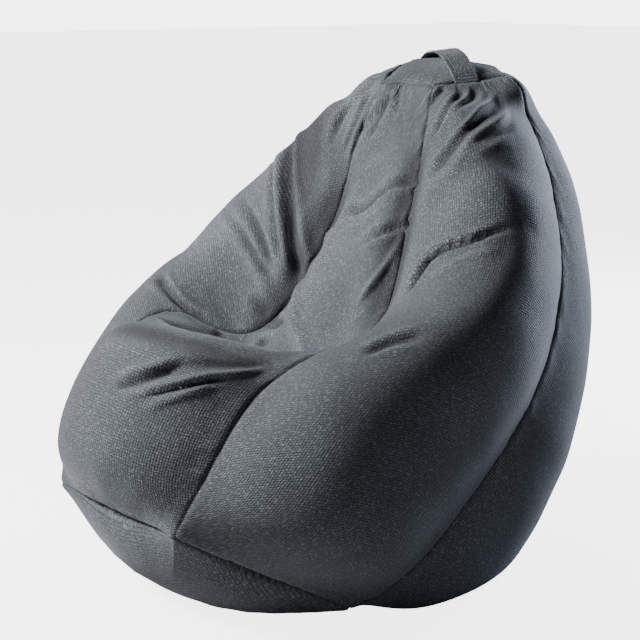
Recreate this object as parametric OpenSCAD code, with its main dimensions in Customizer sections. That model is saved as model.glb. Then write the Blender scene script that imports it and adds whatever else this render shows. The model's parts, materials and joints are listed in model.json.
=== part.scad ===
// Bean bag chair: a soft five-gore bag with a pentagonal top cap and base, a carry handle
// over the cap, a zip in the rear seam and a loose filling in an inner liner. It is shown as
// it stands with a seat pressed into it: the base leans back and the lower back lies flat.
// +Z up, the seat faces -Y, +X to the sitter's left-hand side of the picture plane; the
// origin is on the floor, in the bag's middle plane, near the front of the flat patch.
// Angles around the bag run from the front (-Y) towards +X.

/* [Bag] */
// Width over the arms
bag_w = 900; // [840:10:960]
// Depth from the front lip to the back
bag_d = 1050; // [1000:10:1100]
// Height of the top cap's seam
bag_h = 900; // [860:10:940]
// Radius of the top cap, to its corners
cap_r = 130; // [120:1:140]
// Crown of the top cap
cap_crown = 28; // [22:1:28]
// Crown of the base panel
base_crown = 100; // [80:5:110]
// How far each seam is drawn in, as a part of the radius
seam_pull = 0.145; // [0.08:0.005:0.18]

/* [Seat] */
// Deepest push into the bag
seat_push = 430; // [380:5:450]
// Half of the angle that the push covers, at its widest
seat_half_angle = 94; // [88:1:98]
// Lean of the push, forwards
seat_lean = 10; // [5:1:15]
// How far the left front seam is dragged round, at the seat
seam_drag = 15; // [0:1:16]

/* [Cloth] */
// Thickness of the cover
cover_t = 2; // [1:0.1:2.5]
// Thickness of the liner
liner_t = 1.2; // [0.6:0.1:1.5]
// Room between the cover and the liner, for the zip's slider
liner_gap = 3.5; // [3.2:0.1:5]
// Room between the liner and the filling
bead_gap = 0.5; // [0.4:0.1:1]

/* [Carry handle] */
// Width of the strap
strap_w = 50; // [40:1:55]
// Thickness of the strap
strap_t = 3; // [2:0.1:3]
// Half of the distance between the sewn ends
strap_half = 106; // [105:1:107]
// Height of the strap over the cap's seam
strap_rise = 50; // [50:1:56]
// Half of the length that lifts clear of the cap
strap_loop_half = 68; // [60:1:70]
// Turn of the strap about the cap's middle
strap_turn = 22; // [10:1:30]

/* [Zip] */
// Radius of the rear seam along the zip
zip_r = 825; // [820:1:830]
// Angle of the zip's lower end, from level
zip_low = -25; // [-26:1:-20]
// Angle of the zip's upper end, from level
zip_high = 7.5; // [6:0.5:7.5]
// Width of the closed tape
zip_w = 32; // [26:1:34]
// Width of the slider
slider_w = 9; // [8:0.5:10]
// Length of the slider
slider_l = 14; // [10:1:16]
// Length of the puller
puller_l = 34; // [25:1:45]

/* [Hidden] */

// Seven rings run from the base seam to the cap's seam. Each has its middle, its tilt
// (front raised), its half width and half depth, how far the sitter pushes its front down,
// and half of the angle that the push covers there.
ring_y = bag_d * [-0.267, -0.214, -0.091, 0.057, 0.2, 0.259, 0.274];
ring_z = bag_h * [0.08, 0.16, 0.31, 0.5, 0.675, 0.88, 1];
ring_tilt = [30, 45, 52, 47, 33, 15, -6];
ring_w = concat(bag_w / 2 * [0.7, 0.92, 0.98, 1.02, 0.85, 0.565], [cap_r]);
ring_d = concat(bag_d / 2 * [0.554, 0.814, 0.996, 0.981, 0.711, 0.466], [cap_r]);
ring_push = seat_push * [0, 0.27, 0.5, 0.81, 1, 0.71, 0];
ring_reach = seat_half_angle * [1, 1, 1, 0.98, 0.81, 0.6, 0.53];

drag_t = 0.74;
drag_rows = 0.24;
drag_reach = 42;

gore = 72;
straight = 0.2;
seam_soft = 0.12;
floor_soft = 30;

// Facets: steps around one gore, along the gore, and from the middle of a pentagon out
gore_steps = [0, 3, 12, 24, 36, 48, 60, 69, 72];
last_step = len(gore_steps) - 1;
rows = 20;
spokes = [0, 0.3, 0.6, 0.85, 1];
cap_spokes = [0, 0.5, 1];

// The zip's arc lies in the middle plane, behind the bag, about this middle
zip_y = -335 * bag_d / 1050;
zip_z = 570 * bag_h / 900;
zip_rows = [0.55, 0.8];
zip_blend = 0.08;
zip_reach = 25;
zip_slot = zip_w / 2 + 0.3;
tape_t = 1;
tape_down = 0.3;
tape_in = 2.8;
teeth_in = 0.8;
teeth_up = 0.8;
teeth_down = 1.5;
plate_t = 1.2;
slider_gap = 0.3;
plate_up = teeth_up + slider_gap;
plate_down = teeth_down + slider_gap;
bar_r = 0.9;
eye_r = 2.2;
bar_up = plate_up + plate_t + eye_r + 0.4;
eye_gap = 0.1;
puller_w = 8;
puller_t = 1.6;
stop_l = 4;
liner_seam = 0.1;
mm_deg = 180 / (PI * zip_r);
slider_a = zip_high - stop_l * mm_deg - (slider_l / 2 + 0.5) * mm_deg;

// Arc of the strap, in its own plane
arc_r = (strap_half * strap_half + strap_rise * strap_rise) / (2 * strap_rise);
arc_z = strap_rise - arc_r;
strap_gap = 0.3;
// Height over the cap's seam at which each end stops, inside the cap's cloth
front_sewn = -0.5;
rear_sewn = 5.5;

cloth = [0.25, 0.27, 0.30];
thread = [0.20, 0.22, 0.25];
metal = [0.55, 0.56, 0.58];
liner_white = [0.85, 0.85, 0.83];
bead_white = [0.95, 0.95, 0.95];

// A smooth curve through the values v, at t from 0 to 1
function curve(v, t) =
    let (n = len(v) - 1,
         u = min(max(t, 0), 1) * n,
         i = min(floor(u), n - 1),
         f = u - i,
         a = i > 0 ? v[i - 1] : 2 * v[0] - v[1],
         b = v[i],
         c = v[i + 1],
         d = i + 2 <= n ? v[i + 2] : 2 * v[n] - v[n - 1])
    (2 * b + (c - a) * f + (2 * a - 5 * b + 4 * c - d) * f * f
     + (3 * b - a - 3 * c + d) * f * f * f) / 2;

function clamp01(x) = min(max(x, 0), 1);
function hump(x) = abs(x) < 1 ? pow(1 - x * x, 2) : 0;
function wrap(a) = a - 360 * floor((a + 180) / 360);
function unit(v) = v / norm(v);
function on_floor(p) = [p.x, p.y, p.z < -floor_soft ? 0
                        : p.z < floor_soft ? pow(p.z + floor_soft, 2) / (4 * floor_soft) : p.z];

// Outline of a ring: a pentagon at both seams, five soft lobes in between
function pentagon(a) = cos(gore / 2) / cos(a - gore * round(a / gore));
function lobes(a) =
    let (ridge = (sqrt(pow(cos(2.5 * a), 2) + seam_soft * seam_soft) - seam_soft)
                 / (sqrt(1 + seam_soft * seam_soft) - seam_soft))
    1 - seam_pull * (1 - ridge);
function outline(a, t) =
    let (k = pow(clamp01(1 - t / straight), 2) + pow(clamp01(1 - (1 - t) / straight), 2))
    lobes(a) * (1 - k) + pentagon(a) * k;

// The sitter drags the left front seam towards the middle of the seat, by this angle
function drag(a, t) =
    seam_drag * hump((t - drag_t) / drag_rows) * hump((wrap(a) + gore / 2) / drag_reach);

// The bag's surface before it meets the floor, at angle a and height t (0 base, 1 cap)
function bag(a, t) =
    let (f = outline(a, t),
         b = a + drag(a, t),
         tilt = curve(ring_tilt, t),
         out = -cos(b) * curve(ring_d, t) * f,
         push = hump(wrap(b) / curve(ring_reach, t)) * curve(ring_push, t))
    [sin(b) * curve(ring_w, t) * f,
     curve(ring_y, t) + out * cos(tilt) - push * sin(seat_lean),
     curve(ring_z, t) - out * sin(tilt) - push * cos(seat_lean)];

// The same, with the rear seam drawn onto the zip's arc
function zipped(a, t) =
    let (p = bag(a, t),
         w = hump(wrap(a - 180) / zip_reach)
             * clamp01((t - zip_rows[0] + zip_blend) / zip_blend)
             * clamp01((zip_rows[1] + zip_blend - t) / zip_blend),
         q = bag(180, t) - [0, zip_y, zip_z])
    p + q * (w * (zip_r - norm(q)) / norm(q));
function side(a, t) = on_floor(zipped(a, t));

// The two pentagons, from their middle (s = 0) to their seam (s = 1)
base_n = [0, -sin(ring_tilt[0]), -cos(ring_tilt[0])];
base_c = [0, ring_y[0], ring_z[0]];
cap_n = [0, sin(ring_tilt[6]), cos(ring_tilt[6])];
cap_c = [0, ring_y[6], ring_z[6]];
function base(a, s) =
    on_floor(base_c + (bag(a, 0) - base_c) * s + base_n * base_crown * (1 - s * s * s));
function cap(a, s) = cap_c + (bag(a, 1) - cap_c) * s + cap_n * cap_crown * (1 - s * s);

// Outward directions. At the two seams both surfaces share one mitred direction.
d_a = 0.6;
d_t = 0.004;
function side_n(a, t) =
    unit(cross(side(a + d_a, t) - side(a - d_a, t),
               side(a, min(t + d_t, 1)) - side(a, max(t - d_t, 0))));
function base_dir(a, s) =
    s < 0.01 ? [0, 0, -1]
    : unit(cross(base(a + d_a, s) - base(a - d_a, s),
                 base(a, min(s + 0.01, 1)) - base(a, s - 0.01)));
function cap_dir(a, s) =
    s < 0.01 ? cap_n
    : unit(cross(cap(a + d_a, s) - cap(a - d_a, s), cap(a, s - 0.01) - cap(a, min(s + 0.01, 1))));
function mitre(p, q) = let (m = unit(p + q)) m / max(m * p, 0.5);
function base_seam_n(a) = mitre(side_n(a, 0), base_dir(a, 1));
function cap_seam_n(a) = mitre(side_n(a, 1), cap_dir(a, 1));
function side_out(a, t) = t < 0.001 ? base_seam_n(a) : t > 0.999 ? cap_seam_n(a) : side_n(a, t);
function base_out(a, s) = s > 0.999 ? base_seam_n(a) : base_dir(a, s);
function cap_out(a, s) = s > 0.999 ? cap_seam_n(a) : cap_dir(a, s);

// A point of a layer that lies depth below the cover's outside
function side_p(a, t, depth) = side(a, t) - side_out(a, t) * depth;
function base_p(a, s, depth) = base(a, s) - base_out(a, s) * depth;
function cap_p(a, s, depth) = cap(a, s) - cap_out(a, s) * depth;

// Triangles of a grid of rows m and columns n, first point at k, turned over where flip is true
function grid_tris(m, n, k, flip) =
    [for (i = [0:m - 2], j = [0:n - 2])
        let (p = k + i * n + j, q = p + 1, r = p + n, s = r + 1)
        each flip ? [[p, r, s], [p, s, q]] : [[p, s, r], [p, q, s]]];
// Triangles that close the gap between an outer and an inner loop of point numbers. Each
// diagonal leaves the outer loop at its lower number, so that sewn edges meet without a gap.
function rim_tris(outer, inner) =
    [for (i = [0:len(outer) - 1])
        let (j = (i + 1) % len(outer))
        each outer[i] < outer[j]
            ? [[outer[i], inner[j], outer[j]], [outer[i], inner[i], inner[j]]]
            : [[outer[i], inner[i], outer[j]], [outer[j], inner[i], inner[j]]]];
function border(m, n, k) =
    concat([for (j = [0:n - 1]) k + j],
           [for (i = [1:m - 1]) k + i * n + n - 1],
           [for (j = [n - 2:-1:0]) k + (m - 1) * n + j],
           [for (i = [m - 2:-1:1]) k + i * n]);

// A sheet of cloth between two grids of points of the same size
module sheet(outer, inner) {
    m = len(outer);
    n = len(outer[0]);
    count = m * n;
    points = concat([for (row = outer) each row], [for (row = inner) each row]);
    tris = concat(grid_tris(m, n, 0, false), grid_tris(m, n, count, true),
                  rim_tris(border(m, n, 0), border(m, n, count)));
    polyhedron(points, tris);
}

// Where the zip opens the rear seam, both rear panels stop short of it
function gore_angle(a0, j, t) =
    let (a = a0 + gore_steps[j],
         cut = asin(zip_slot / (curve(ring_w, t) * (1 - seam_pull))))
    t > zip_rows[0] - 0.01 && t < zip_rows[1] + 0.01
    ? (abs(a - 180) < 0.1 ? a + (j == 0 ? cut : -cut)
       : abs(a - 180) < 3.1 ? a + (a < 180 ? -1.5 : 1.5) : a)
    : a;

module gore_panel(a0) {
    outer = [for (i = [0:rows]) [for (j = [0:last_step])
        side_p(gore_angle(a0, j, i / rows), i / rows, 0)]];
    inner = [for (i = [0:rows]) [for (j = [0:last_step])
        side_p(gore_angle(a0, j, i / rows), i / rows, cover_t)]];
    sheet(outer, inner);
}

// The angles of one full turn, or of half of one from a0
function turn_angles(a0, turns) =
    concat([for (g = [0:turns - 1], j = [0:last_step - 1]) a0 + g * gore + gore_steps[j]],
           [a0 + turns * gore]);

// A pentagon of cloth: fans of sheet from the middle to the seam
module pentagon_panel(steps, is_base) {
    angles = turn_angles(-gore / 2, 5);
    n = len(angles) - 1;
    m = len(steps);
    points = [for (depth = [0, cover_t])
        each concat([is_base ? base_p(0, 0, depth) : cap_p(0, 0, depth)],
                    [for (i = [1:m - 1], j = [0:n - 1])
                        is_base ? base_p(angles[j], steps[i], depth)
                        : cap_p(angles[j], steps[i], depth)])];
    half = 1 + (m - 1) * n;
    fan = [for (j = [0:n - 1]) [0, 1 + j, 1 + (j + 1) % n]];
    quads = [for (i = [1:m - 2], j = [0:n - 1])
        let (p = 1 + (i - 1) * n + j, q = 1 + (i - 1) * n + (j + 1) % n, r = p + n, s = q + n)
        each is_base ? [[p, r, s], [p, s, q]] : [[p, r, q], [q, r, s]]];
    top = concat(fan, quads);
    under = [for (f = top) [f[0] + half, f[2] + half, f[1] + half]];
    seam = [for (j = [0:n - 1]) 1 + (m - 2) * n + j];
    rim = [for (j = [0:n - 1])
        let (p = seam[j], q = seam[(j + 1) % n])
        each [[p, p + half, q + half], [p, q + half, q]]];
    tris = concat(top, under, rim);
    polyhedron(points, is_base ? tris : [for (f = tris) [f[0], f[2], f[1]]]);
}

// The stations of a whole meridian, from the base's middle to the cap's middle
function meridian(a, depth) =
    concat([for (s = [1:len(spokes) - 2]) base_p(a, spokes[s], depth)],
           [for (i = [0:rows]) side_p(a, i / rows, depth)],
           [for (s = [len(cap_spokes) - 2:-1:1]) cap_p(a, cap_spokes[s], depth)]);

// Half of the liner, between the middle plane at the front and at the back, from angle a0
module liner_half(a0) {
    between = [for (a = turn_angles(-gore / 2, 6)) if (a > a0 + 1 && a < a0 + 179) a];
    angles = concat([a0], between, [a0 + 180]);
    depth = cover_t + liner_gap;
    function whole(a, d) = concat([base_p(0, 0, d)], meridian(a, d), [cap_p(0, 0, d)]);
    outer = [for (a = angles) whole(a, depth)];
    inner = [for (a = angles) whole(a, depth + liner_t)];
    intersection() {
        half_shell(outer, inner);
        translate([a0 < 90 ? liner_seam : -liner_seam - bag_w, -bag_d, -1])
            cube([bag_w, 2 * bag_d, 2 * bag_h]);
    }
}

// A closed shape from meridians that share their first and last point
function merged(m) =
    let (n = len(m), k = len(m[0]))
    concat([m[0][0]], [for (i = [0:n - 1], j = [1:k - 2]) m[i][j]], [m[0][k - 1]]);
function merged_tris(n, k, closed, first, flip) =
    let (w = k - 2, last = first + n * w + 1,
         tris = [for (i = [0:closed ? n - 1 : n - 2])
             let (a = first + 1 + i * w, b = first + 1 + ((i + 1) % n) * w)
             each concat([[first, a, b], [last, b + w - 1, a + w - 1]],
                         [for (j = [0:w - 2])
                             each [[a + j, a + j + 1, b + j + 1], [a + j, b + j + 1, b + j]]])])
    flip ? [for (f = tris) [f[0], f[2], f[1]]] : tris;

module half_shell(outer, inner) {
    n = len(outer);
    k = len(outer[0]);
    count = 2 + n * (k - 2);
    points = concat(merged(outer), merged(inner));
    function edge(i, base_no) =
        concat([base_no], [for (j = [0:k - 3]) base_no + 1 + i * (k - 2) + j],
               [base_no + count - 1]);
    front_o = edge(0, 0);
    front_i = edge(0, count);
    back_o = edge(n - 1, 0);
    back_i = edge(n - 1, count);
    strips = [for (j = [0:k - 2])
        each [[front_o[j], front_i[j + 1], front_o[j + 1]], [front_o[j], front_i[j], front_i[j + 1]],
              [back_o[j], back_o[j + 1], back_i[j + 1]], [back_o[j], back_i[j + 1], back_i[j]]]];
    polyhedron(points, concat(merged_tris(n, k, false, 0, false),
                              merged_tris(n, k, false, count, true), strips));
}

module front_panel() { color(cloth) gore_panel(-gore / 2); }
module right_side_panel() { color(cloth) gore_panel(gore / 2); }
module rear_right_panel() { color(cloth) gore_panel(gore * 1.5); }
module rear_left_panel() { color(cloth) gore_panel(gore * 2.5); }
module left_side_panel() { color(cloth) gore_panel(gore * 3.5); }
module top_cap() { color(cloth) pentagon_panel(cap_spokes, false); }
module base_panel() { color(cloth) pentagon_panel(spokes, true); }
module liner_right() { color(liner_white) liner_half(0); }
module liner_left() { color(liner_white) liner_half(180); }

module bead_filling() {
    depth = cover_t + liner_gap + liner_t + bead_gap;
    all_angles = turn_angles(-gore / 2, 5);
    angles = [for (j = [0:len(all_angles) - 2]) all_angles[j]];
    lines = [for (a = angles)
        concat([base_p(0, 0, depth)], meridian(a, depth), [cap_p(0, 0, depth)])];
    color(bead_white)
        polyhedron(merged(lines), merged_tris(len(lines), len(lines[0]), true, 0, false));
}

// The strap is one arc of webbing. x runs along it, and its own plane is x and z.
module strap_arc(from_x, to_x, low) {
    rotate([90, 0, 0]) linear_extrude(strap_w, center = true) intersection() {
        translate([0, arc_z]) difference() {
            circle(arc_r, $fn = 180);
            circle(arc_r - strap_t, $fn = 180);
        }
        translate([from_x, low]) square([to_x - from_x, strap_rise - low + 1]);
    }
}

module on_cap() {
    translate(cap_c) rotate([-ring_tilt[6], 0, 0]) rotate([0, 0, -strap_turn]) children();
}

module carry_handle() {
    color(cloth) on_cap() strap_arc(-strap_loop_half, strap_loop_half, 0);
}
module handle_end_front() {
    color(cloth) on_cap() strap_arc(strap_loop_half + strap_gap, strap_half + 5, front_sewn);
}
module handle_end_rear() {
    color(cloth) on_cap() strap_arc(-strap_half - 5, -strap_loop_half - strap_gap, rear_sewn);
}

// A bar that follows the zip's arc: from angle a0 to a1, across x0 to x1,
// and from low to high outwards of the seam
module arc_bar(a0, a1, x0, x1, low, high) {
    translate([0, zip_y, zip_z]) rotate([a0, 0, 0]) rotate([90, 0, 90])
        rotate_extrude(angle = a1 - a0, $fn = 720)
            translate([zip_r + low, x0]) square([high - low, x1 - x0]);
}

module zip_tape(side_sign) {
    x0 = side_sign > 0 ? tape_in : -zip_w / 2;
    arc_bar(zip_low, zip_high, x0, x0 + zip_w / 2 - tape_in, -tape_down - tape_t, -tape_down);
}
module zip_tape_right() { color(thread) zip_tape(1); }
module zip_tape_left() { color(thread) zip_tape(-1); }

module zip_teeth(side_sign) {
    x0 = side_sign > 0 ? teeth_in : -tape_in;
    low = zip_low + stop_l * mm_deg;
    high = zip_high - stop_l * mm_deg;
    arc_bar(low, high, x0, x0 + tape_in - teeth_in, -teeth_down, teeth_up);
}
module zip_teeth_right() { color(thread) zip_teeth(1); }
module zip_teeth_left() { color(thread) zip_teeth(-1); }

module zip_top_stops() {
    color(metal) for (x0 = [teeth_in, -tape_in])
        arc_bar(zip_high - stop_l * mm_deg, zip_high, x0, x0 + tape_in - teeth_in,
                -teeth_down, plate_up + plate_t);
}
module zip_bottom_stop() {
    color(metal) arc_bar(zip_low, zip_low + stop_l * mm_deg, -tape_in, tape_in,
                         -teeth_down, plate_up + plate_t);
}

// The slider: two plates joined by a post between the rows, with a bar for the puller
module zip_slider() {
    half = slider_l / 2 * mm_deg;
    post = 1.5 * mm_deg;
    lug = 1.2 * mm_deg;
    color(metal) {
        arc_bar(slider_a - half, slider_a + half, -slider_w / 2, slider_w / 2,
                plate_up, plate_up + plate_t);
        arc_bar(slider_a - half, slider_a + half, -slider_w / 2, slider_w / 2,
                -plate_down - plate_t, -plate_down);
        arc_bar(slider_a + half - 2 * post, slider_a + half, -teeth_in + slider_gap,
                teeth_in - slider_gap, -plate_down, plate_up);
        for (x = [-slider_w / 2, slider_w / 2 - 1.4])
            arc_bar(slider_a - lug, slider_a + lug, x, x + 1.4, plate_up + plate_t,
                    bar_up + bar_r + 0.4);
        at_bar() rotate([0, 90, 0]) cylinder(h = slider_w - 1, r = bar_r, center = true, $fn = 48);
    }
}
module at_bar() {
    translate([0, zip_y, zip_z]) rotate([slider_a, 0, 0]) translate([0, zip_r + bar_up, 0])
        children();
}

// The puller hangs from the slider's bar by a round eye
module zip_puller() {
    eye_w = slider_w - 2 * 1.4 - 0.8;
    color(metal) at_bar() difference() {
        union() {
            rotate([0, 90, 0]) cylinder(h = eye_w, r = eye_r, center = true, $fn = 48);
            translate([-eye_w / 2, -puller_t / 2, -8]) cube([eye_w, puller_t, 8]);
            translate([0, puller_t / 2, 0]) rotate([90, 0, 0]) linear_extrude(puller_t)
                difference() {
                    translate([-puller_w / 2, -puller_l]) square([puller_w, puller_l - 7]);
                    translate([0, -puller_l + 4.5]) circle(2.5, $fn = 48);
                }
        }
        rotate([0, 90, 0]) cylinder(h = slider_w, r = bar_r + eye_gap, center = true, $fn = 48);
    }
}

front_panel();
right_side_panel();
rear_right_panel();
rear_left_panel();
left_side_panel();
top_cap();
base_panel();
carry_handle();
handle_end_front();
handle_end_rear();
zip_tape_left();
zip_tape_right();
zip_teeth_left();
zip_teeth_right();
zip_top_stops();
zip_bottom_stop();
zip_slider();
zip_puller();
liner_left();
liner_right();
bead_filling();
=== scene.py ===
import json
import math

import bpy
import numpy as np
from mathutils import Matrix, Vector


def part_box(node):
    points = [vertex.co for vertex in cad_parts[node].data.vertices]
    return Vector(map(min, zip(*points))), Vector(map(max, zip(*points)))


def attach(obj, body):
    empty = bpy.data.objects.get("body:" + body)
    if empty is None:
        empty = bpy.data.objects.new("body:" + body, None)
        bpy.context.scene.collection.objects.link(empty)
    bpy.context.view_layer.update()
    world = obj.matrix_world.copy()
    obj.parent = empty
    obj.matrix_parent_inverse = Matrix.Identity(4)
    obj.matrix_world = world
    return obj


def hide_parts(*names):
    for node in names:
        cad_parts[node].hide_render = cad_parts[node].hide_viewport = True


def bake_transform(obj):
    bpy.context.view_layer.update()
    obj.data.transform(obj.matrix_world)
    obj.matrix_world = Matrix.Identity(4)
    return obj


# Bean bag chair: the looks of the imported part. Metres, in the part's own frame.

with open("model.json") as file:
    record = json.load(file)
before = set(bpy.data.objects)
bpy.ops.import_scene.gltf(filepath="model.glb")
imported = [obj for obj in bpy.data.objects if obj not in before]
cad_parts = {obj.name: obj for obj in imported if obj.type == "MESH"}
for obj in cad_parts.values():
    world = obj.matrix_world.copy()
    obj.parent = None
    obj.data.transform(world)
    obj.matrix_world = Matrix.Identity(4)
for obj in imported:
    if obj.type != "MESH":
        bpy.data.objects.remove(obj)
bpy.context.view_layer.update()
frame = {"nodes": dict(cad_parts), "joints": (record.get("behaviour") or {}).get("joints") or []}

MM = 0.001
# Thicknesses of the cloths, and how far the inner layers lie below the cover's outer face
COVER_T, LINER_T = 1.6 * MM, 0.8 * MM
LINER_DEPTH, FILLING_DEPTH = 9 * MM, 12.5 * MM

# -------------------- the bag's surface
# The same seven rings as the CAD part, from the base seam to the cap's seam.
DEPTH, HALF_DEPTH, HALF_WIDTH, HEIGHT = 1.05, 0.525, 0.45, 0.9
SEAT_PUSH, SEAT_REACH = 0.43, 94.0
RING_Y = DEPTH * np.array([-0.267, -0.214, -0.091, 0.057, 0.2, 0.259, 0.274])
RING_Z = HEIGHT * np.array([0.08, 0.16, 0.31, 0.5, 0.675, 0.88, 1.0])
RING_TILT = np.array([30.0, 45.0, 52.0, 47.0, 33.0, 15.0, -6.0])
CAP_R = 0.13
RING_W = np.append(HALF_WIDTH * np.array([0.7, 0.92, 0.98, 1.02, 0.85, 0.565]), CAP_R)
RING_D = np.append(HALF_DEPTH * np.array([0.554, 0.814, 0.996, 0.981, 0.711, 0.466]), CAP_R)
RING_PUSH = SEAT_PUSH * np.array([0.0, 0.27, 0.5, 0.81, 1.0, 0.71, 0.0])
GORE = 72.0
HALF_GORE = 36.0
SEAM_DRAG = 15.0
CORNER_DRAG = 14.0
CORNER_LIFT = 0.022
RING_REACH = SEAT_REACH * np.array([1.0, 1.0, 1.0, 0.98, 0.81, 0.6, 0.53])
SEAT_LEAN = math.radians(10)
SEAM_PULL = 0.145
SEAM_SOFT = 0.12
STRAIGHT = 0.2
FLOOR_SOFT = 0.03
CIRCLE_SIZE = 0.89
CIRCLE_POWER = 8
BASE_CROWN = 0.1
CAP_CROWN = 0.028
ZIP_ROWS = (0.55, 0.8)
ZIP_BLEND = 0.08
ZIP_REACH = 25.0

joints = {j["name"]: j for j in frame["joints"]}


def curve(values, t):
    """A smooth curve through the values, at t from 0 to 1."""
    last = len(values) - 1
    v = np.concatenate([[2 * values[0] - values[1]], values, [2 * values[-1] - values[-2]]])
    u = np.clip(t, 0, 1) * last
    i = np.minimum(u.astype(int), last - 1)
    f = u - i
    a, b, c, d = v[i], v[i + 1], v[i + 2], v[i + 3]
    bend, twist = 2 * a - 5 * b + 4 * c - d, 3 * b - a - 3 * c + d
    return (2 * b + (c - a) * f + bend * f**2 + twist * f**3) / 2


def hump(x):
    """1 at 0, falling smoothly to 0 at -1 and 1."""
    return np.where(np.abs(x) < 1, (1 - x * x) ** 2, 0.0)


def smooth(x):
    """A soft step from 0 at 0 to 1 at 1."""
    x = np.clip(x, 0, 1)
    return x * x * (3 - 2 * x)


def wrap(a):
    """The same angle, between -180 and 180 degrees."""
    return (a + 180) % 360 - 180


def outline(a, t):
    """Reach of a ring at an angle: a pentagon at both ends, five soft lobes between them."""
    from_middle = np.radians(a - GORE * np.round(a / GORE))
    pentagon = math.cos(math.radians(HALF_GORE)) / np.cos(from_middle)
    ridge = (np.sqrt(np.cos(np.radians(2.5 * a)) ** 2 + SEAM_SOFT**2) - SEAM_SOFT) / (
        math.sqrt(1 + SEAM_SOFT**2) - SEAM_SOFT
    )
    lobes = 1 - SEAM_PULL * (1 - ridge)
    k = np.clip(1 - t / STRAIGHT, 0, 1) ** 2 + np.clip(1 - (1 - t) / STRAIGHT, 0, 1) ** 2
    return lobes * (1 - k) + pentagon * k


def bag(a, t):
    """The bag before it meets the floor: a is degrees from the front, t is 0 base to 1 cap."""
    a, t = np.broadcast_arrays(np.asarray(a, float), np.asarray(t, float))
    f = outline(a, t)
    tilt = np.radians(curve(RING_TILT, t))
    # The sitter drags the left front seam towards the middle of the seat
    b = a + SEAM_DRAG * hump((t - 0.74) / 0.24) * hump((wrap(a) + GORE / 2) / 42)
    # The cap's corner at that seam sits nearer the middle, and the one behind it stands up
    b = b + CORNER_DRAG * hump((t - 1) / 0.3) * hump((wrap(a) + GORE / 2) / 40)
    lift = CORNER_LIFT * hump((t - 1) / 0.2) * hump((wrap(a) + 1.5 * GORE) / 60)
    rad = np.radians(b)
    out = -np.cos(rad) * curve(RING_D, t) * f
    push = hump(wrap(b) / curve(RING_REACH, t)) * curve(RING_PUSH, t)
    x = np.sin(rad) * curve(RING_W, t) * f
    y = curve(RING_Y, t) + out * np.cos(tilt) - push * math.sin(SEAT_LEAN)
    z = curve(RING_Z, t) - out * np.sin(tilt) - push * math.cos(SEAT_LEAN) + lift
    return np.stack([x, y, z], -1)


# The rear seam keeps to this arc beside the zip
ZIP_C = np.array(joints["zip_travel"]["pos_m"], float)
ZIP_R = 0.825


def on_floor(p):
    """Flattens what would lie below the floor, with a soft start."""
    z, k = p[..., 2], FLOOR_SOFT
    p[..., 2] = np.where(z < -k, 0, np.where(z < k, (z + k) ** 2 / (4 * k), z))
    return p


def side(a, t):
    """The side of the bag on the floor, with the zip's arc in its rear seam."""
    p = bag(a, t)
    a, t = np.broadcast_arrays(np.asarray(a, float), np.asarray(t, float))
    w = hump(wrap(a - 180) / ZIP_REACH)
    w = w * np.clip((t - ZIP_ROWS[0] + ZIP_BLEND) / ZIP_BLEND, 0, 1)
    w = w * np.clip((ZIP_ROWS[1] + ZIP_BLEND - t) / ZIP_BLEND, 0, 1)
    q = bag(180.0 + 0 * a, t) - ZIP_C
    r = np.linalg.norm(q, axis=-1)
    return on_floor(p + q * (w * (ZIP_R - r) / r)[..., None])


def rounded(a, s):
    """Inside its seam a pentagon soon turns into a circle, so its corners' creases stay short."""
    k = s**CIRCLE_POWER
    return k + (1 - k) * CIRCLE_SIZE / outline(a, 0.0)


def base(a, s):
    """The base panel: s is 0 at its middle and 1 at its seam."""
    lean = math.radians(RING_TILT[0])
    n = np.array([0, -math.sin(lean), -math.cos(lean)])
    c = np.array([0, RING_Y[0], RING_Z[0]])
    a, s = np.broadcast_arrays(np.asarray(a, float), np.asarray(s, float))
    reach = (s * rounded(a, s))[..., None]
    return on_floor(c + (bag(a, 0.0) - c) * reach + n * (BASE_CROWN * (1 - s[..., None] ** 3)))


CAP_LEAN = math.radians(RING_TILT[-1])
CAP_N = np.array([0, math.sin(CAP_LEAN), math.cos(CAP_LEAN)])
CAP_C = np.array([0, RING_Y[-1], RING_Z[-1]])


def cap(a, s):
    """The top cap: s is 0 at its middle and 1 at its seam."""
    a, s = np.broadcast_arrays(np.asarray(a, float), np.asarray(s, float))
    reach = (s * rounded(a, s))[..., None]
    return CAP_C + (bag(a, 1.0) - CAP_C) * reach + CAP_N * (CAP_CROWN * (1 - s[..., None] ** 2))


# The surface is placed by the CAD's own cap: its corners give the scale and the place. The
# dragged corner, at -36 degrees, is left out.
cap_lo, cap_hi = (np.array(c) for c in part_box("top_cap"))
corners = cap(HALF_GORE + GORE * np.arange(4), 1.0)
corner_lo, corner_hi = corners.min(0), corners.max(0)
SCALE = (cap_hi[0] - cap_lo[0]) / (corner_hi[0] - corner_lo[0])
SHIFT_Y = (cap_lo[1] + cap_hi[1]) / 2 - SCALE * (corner_lo[1] + corner_hi[1]) / 2


def placed(p):
    """Points of the formula above, in the part's own frame."""
    return p * SCALE + np.array([0, SHIFT_Y, 0])


# -------------------- grids
# Each grid runs around the bag (columns) and from the base's middle to the cap's (rows).
def half_steps(near, step, end):
    """The values of near, then even steps of about the given size to end."""
    count = int(round((end - near[-1]) / step))
    return list(near) + [near[-1] + (end - near[-1]) * (k + 1) / count for k in range(count)]


def column_angles(near, step):
    """Angles of one turn from the first seam at -36, dense at each seam."""
    half = half_steps(near, step, HALF_GORE)
    one = half + [GORE - x for x in half[-2:0:-1]]
    return np.array([-HALF_GORE + g * GORE + x for g in range(5) for x in one]), len(one)


def row_heights(near, step):
    """Heights from 0 to 1, dense at both ring seams."""
    half = half_steps(near, step, 0.5)
    return np.array(half + [1 - x for x in half[-2::-1]])


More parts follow.
